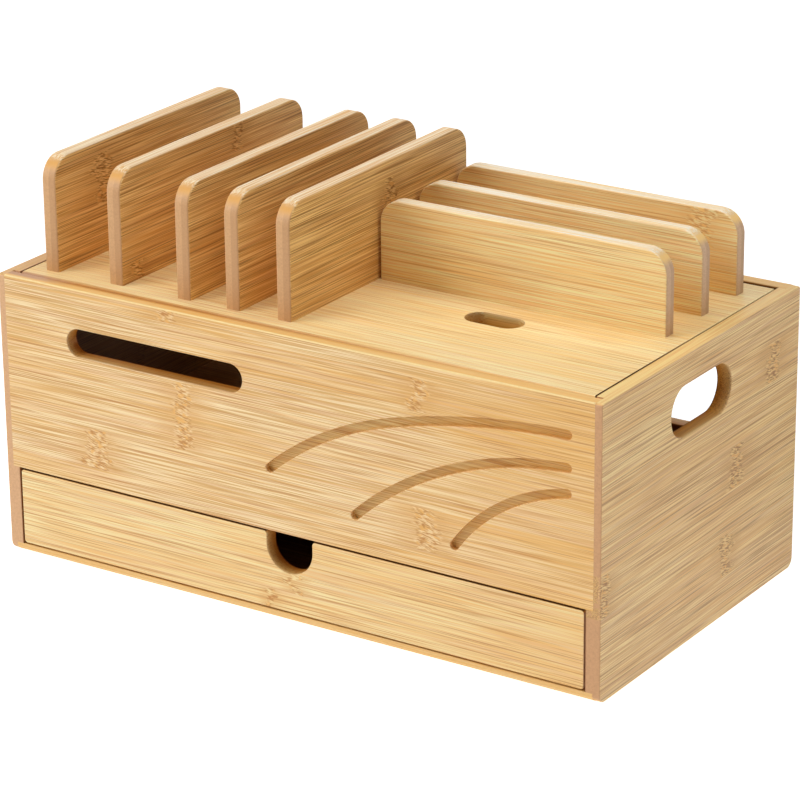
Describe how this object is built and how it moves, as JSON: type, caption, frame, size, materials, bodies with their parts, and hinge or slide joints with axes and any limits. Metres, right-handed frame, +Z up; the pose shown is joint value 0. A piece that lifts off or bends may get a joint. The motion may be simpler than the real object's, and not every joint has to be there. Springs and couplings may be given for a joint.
{
  "type": "charging station organizer",
  "caption": "Bamboo box for a power strip with a drawer, hand holes and cable slots, and a lift-off lid that carries upright dividers for phones and tablets",
  "frame": {"origin": "on the table, under the middle of the case", "axes": "+Z up, +X to the right seen from the front, -Y towards the front where the drawer opens"},
  "size_m": [0.35, 0.193, 0.209],
  "materials": {
    "bamboo_board": "sanded bamboo board under thin clear lacquer",
    "bamboo_thin_board": "sanded thin bamboo board under thin clear lacquer",
    "bamboo_strip": "sanded bamboo strip",
    "bamboo_lid": "sanded bamboo board under thin clear lacquer",
    "bamboo_divider": "sanded bamboo board under thin clear lacquer, end grain on its edges",
    "bamboo_drawer": "sanded bamboo board under thin clear lacquer",
    "screw_steel": "bright zinc plate"
  },
  "bodies": {
    "case": {"left_side_panel": "bamboo_board", "right_side_panel": "bamboo_board", "front_panel": "bamboo_board", "back_panel": "bamboo_board", "base_panel": "bamboo_thin_board", "drawer_shelf": "bamboo_thin_board", "left_lid_cleat": "bamboo_strip", "right_lid_cleat": "bamboo_strip"},
    "lid": {"lid_board": "bamboo_lid", "long_divider_1": "bamboo_divider", "long_divider_2": "bamboo_divider", "long_divider_3": "bamboo_divider", "long_divider_4": "bamboo_divider", "long_divider_5": "bamboo_divider", "cross_divider_front": "bamboo_divider", "cross_divider_middle": "bamboo_divider", "cross_divider_back": "bamboo_divider", "divider_screws": "screw_steel"},
    "drawer": {"drawer_front": "bamboo_drawer", "drawer_left_side": "bamboo_drawer", "drawer_right_side": "bamboo_drawer", "drawer_back": "bamboo_drawer", "drawer_bottom": "bamboo_thin_board"}
  },
  "joints": [
    {"name": "drawer_slide", "type": "slide", "parent": "case", "child": "drawer", "axis": [0, -1, 0], "range_m": [0, 0.15]},
    {"name": "lid_lift", "type": "slide", "parent": "case", "child": "lid", "axis": [0, 0, 1], "range_m": [0, 0.1]}
  ]
}
